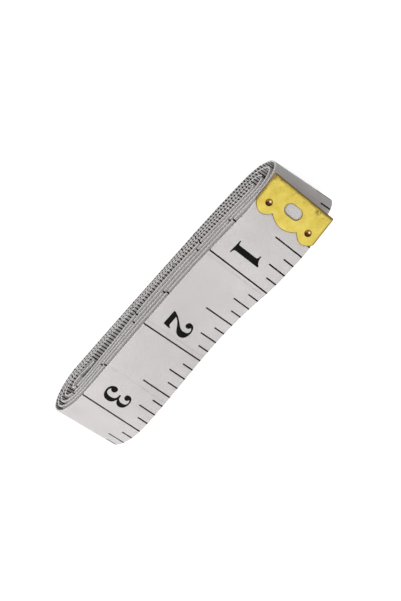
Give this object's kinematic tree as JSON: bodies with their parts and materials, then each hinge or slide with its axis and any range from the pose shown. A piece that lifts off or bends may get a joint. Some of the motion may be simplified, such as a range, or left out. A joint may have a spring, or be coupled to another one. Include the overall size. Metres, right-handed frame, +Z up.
{
  "type": "cloth tape measure",
  "caption": "Soft cloth tape measure wound into a flat oblong roll, with a scalloped brass tip riveted to its free end and a plain metal clip folded over its inner end.",
  "frame": {"origin": "bottom centre of the box round the roll, on the flat underside that it lies on", "axes": "+X along the roll towards the brass tip, +Y across the tape towards the edge with the millimetre ticks, +Z up out of the face with the inch numbers"},
  "size_m": [0.088, 0.0201, 0.0154],
  "materials": {
    "coated_cloth": "satin",
    "yellow_brass": "satin",
    "rivet_bronze": "polished",
    "grey_metal": "brushed"
  },
  "bodies": {
    "roll": {"tape_roll": "coated_cloth", "inner_end_clip": "grey_metal"},
    "free_1": {"free_tape_1": "coated_cloth"},
    "free_2": {"free_tape_2": "coated_cloth"},
    "tip": {"tip_tape": "coated_cloth", "tip_plate": "yellow_brass", "tip_rivet_tick_side": "rivet_bronze", "tip_rivet_plain_side": "rivet_bronze"}
  },
  "joints": [
    {"name": "peel_1", "type": "hinge", "parent": "roll", "child": "free_1", "pos_m": [-0.0192, 0, 0.01417], "axis": [0, -1, 0], "range_deg": [0, 25]},
    {"name": "peel_2", "type": "hinge", "parent": "free_1", "child": "free_2", "pos_m": [0.0048, 0, 0.01321], "axis": [0, -1, 0], "range_deg": [0, 25]},
    {"name": "peel_3", "type": "hinge", "parent": "free_2", "child": "tip", "pos_m": [0.0288, 0, 0.01367], "axis": [0, -1, 0], "range_deg": [0, 25]}
  ],
  "couplings": [
    {"joint": "peel_2", "follows": "peel_1", "ratio": 1},
    {"joint": "peel_3", "follows": "peel_1", "ratio": 1}
  ]
}
